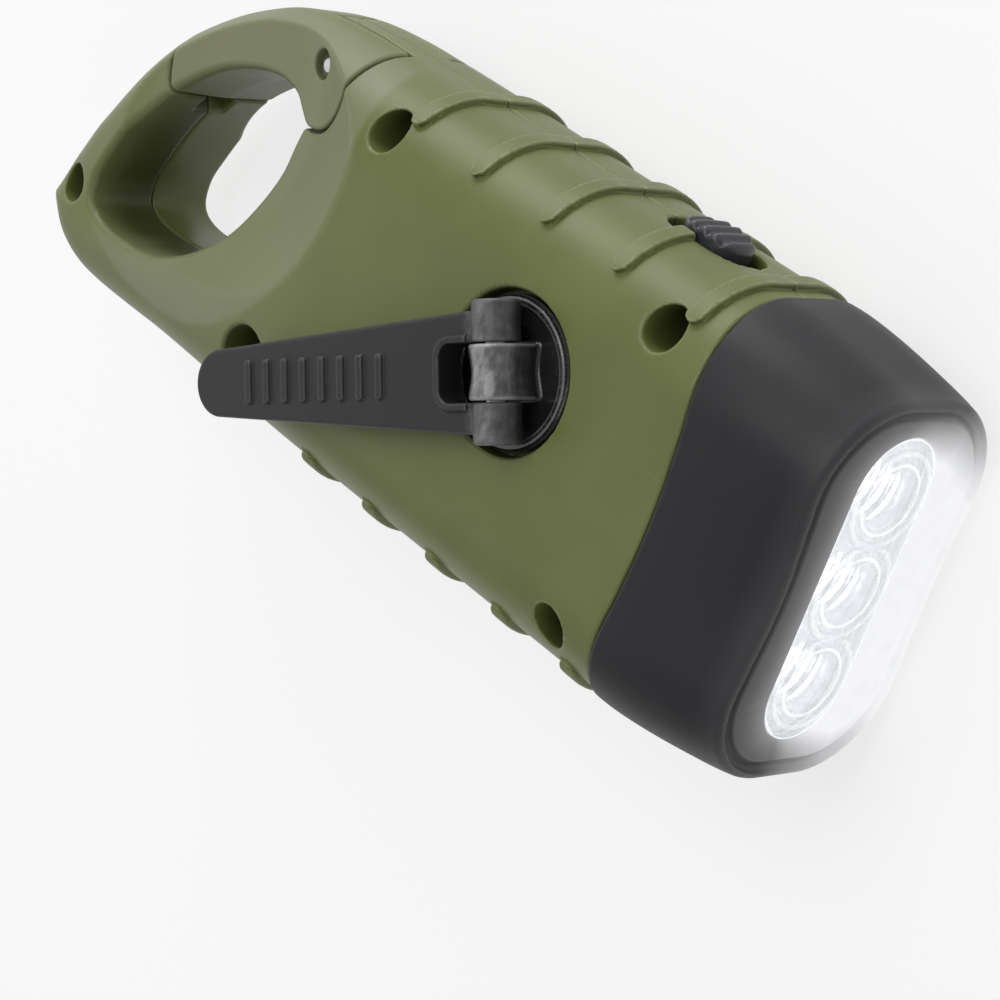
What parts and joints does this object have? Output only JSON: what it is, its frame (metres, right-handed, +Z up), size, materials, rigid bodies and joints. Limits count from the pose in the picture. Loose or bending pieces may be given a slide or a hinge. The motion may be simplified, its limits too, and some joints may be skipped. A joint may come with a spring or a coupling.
{
  "type": "hand crank flashlight",
  "caption": "Flat oblong flashlight with a folding crank arm on one face, a small solar panel on the other and a carabiner clip with a sprung gate at its back end.",
  "frame": {"origin": "centre of the housing's plan, on the flat rim of the solar panel's frame that the flashlight lies on", "axes": "+X along the body towards the lens, +Y towards the edge with the switch and the gate, +Z up through the face with the crank"},
  "size_m": [0.138, 0.0512, 0.037],
  "materials": {
    "olive_shell": "satin with a fine texture",
    "charcoal": "matte",
    "black_gloss": "gloss",
    "steel": "plain",
    "cell_case": "plain",
    "coil": "enamelled wire",
    "nylon": "plain",
    "clear_window": "clear polished plastic",
    "reflector_chrome": "plated",
    "lamp_clear": "clear epoxy, lit",
    "board": "plain",
    "panel": "amorphous cell under clear resin"
  },
  "bodies": {
    "housing": {"crank_side_shell": "olive_shell", "solar_side_shell": "olive_shell", "gate_pin": "steel", "gate_spring": "steel", "head_bezel": "charcoal", "lens_window": "clear_window", "reflector": "reflector_chrome", "lamp_board": "board", "lamp_1": "lamp_clear", "lamp_2": "lamp_clear", "lamp_3": "lamp_clear", "idler_axle_1": "steel", "idler_axle_2": "steel", "gear_plate": "steel", "dynamo_core": "steel", "dynamo_coil": "coil", "circuit_board": "board", "battery_cell_1": "cell_case", "battery_cell_2": "cell_case", "battery_cell_3": "cell_case", "switch_body": "charcoal", "solar_frame": "charcoal", "solar_cell": "panel", "housing_screw_1": "steel", "housing_screw_2": "steel", "housing_screw_3": "steel", "housing_screw_4": "steel"},
    "crank": {"crank_hub": "black_gloss", "hinge_pin": "steel", "drive_gear": "nylon"},
    "arm": {"crank_arm": "charcoal"},
    "idler_1": {"first_idler": "nylon"},
    "idler_2": {"second_idler": "nylon"},
    "rotor": {"dynamo_rotor": "steel"},
    "gate": {"gate": "olive_shell"},
    "switch": {"switch_button": "black_gloss"}
  },
  "joints": [
    {"name": "crank_spin", "type": "hinge", "parent": "housing", "child": "crank", "pos_m": [0.026, 0.004, 0.0305], "axis": [0, 0, 1], "continuous": true},
    {"name": "arm_fold", "type": "hinge", "parent": "crank", "child": "arm", "pos_m": [0.02714, 0.00463, 0.0339], "axis": [-0.4848, 0.8746, 0], "range_deg": [0, 180]},
    {"name": "idler_1_spin", "type": "hinge", "parent": "housing", "child": "idler_1", "pos_m": [0.01812, -0.00964, 0.0158], "axis": [0, 0, 1], "continuous": true},
    {"name": "idler_2_spin", "type": "hinge", "parent": "housing", "child": "idler_2", "pos_m": [0.00513, -0.00214, 0.0158], "axis": [0, 0, 1], "continuous": true},
    {"name": "rotor_spin", "type": "hinge", "parent": "housing", "child": "rotor", "pos_m": [0.01663, 0.0075, 0.0158], "axis": [0, 0, 1], "continuous": true},
    {"name": "gate_swing", "type": "hinge", "parent": "housing", "child": "gate", "pos_m": [-0.0238, 0.0195, 0.0158], "axis": [0, 0, 1], "range_deg": [0, 26], "stiffness_Nm_per_rad": 0.05, "springref_deg": -28.65},
    {"name": "switch_slide", "type": "slide", "parent": "housing", "child": "switch", "axis": [1, 0, 0], "range_m": [-0.002, 0.002]}
  ],
  "couplings": [
    {"joint": "idler_1_spin", "follows": "crank_spin", "ratio": -3.2},
    {"joint": "idler_2_spin", "follows": "crank_spin", "ratio": 9.6},
    {"joint": "rotor_spin", "follows": "crank_spin", "ratio": -28.8}
  ]
}
